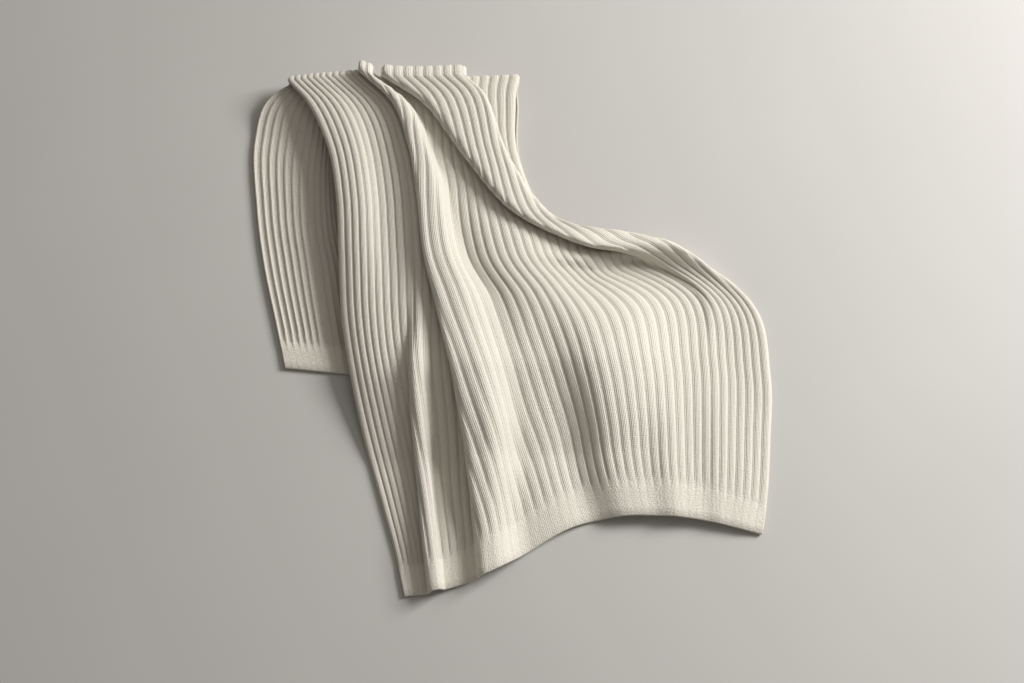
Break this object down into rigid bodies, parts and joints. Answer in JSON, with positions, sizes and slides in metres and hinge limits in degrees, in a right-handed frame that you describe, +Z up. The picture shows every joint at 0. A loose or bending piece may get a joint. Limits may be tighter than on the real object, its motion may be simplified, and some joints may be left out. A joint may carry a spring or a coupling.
{
  "type": "wool throw",
  "caption": "Rib-knit wool throw laid out in long gathered folds, its far end turned under; a loose cover for a chair, sofa or bed.",
  "frame": {"origin": "centre of the throw's outline, on the surface it lies on", "axes": "+Z up from the surface; +Y along the ribs to the far end that is turned under; +X across the ribs towards the edge that shows right of the long lip; the near hem faces -Y"},
  "size_m": [0.8912, 0.944, 0.075],
  "materials": {
    "wool_knit": "matt ivory wool, rib knit with plain knit bands"
  },
  "bodies": {
    "root": {"throw": "wool_knit"}
  },
  "joints": []
}
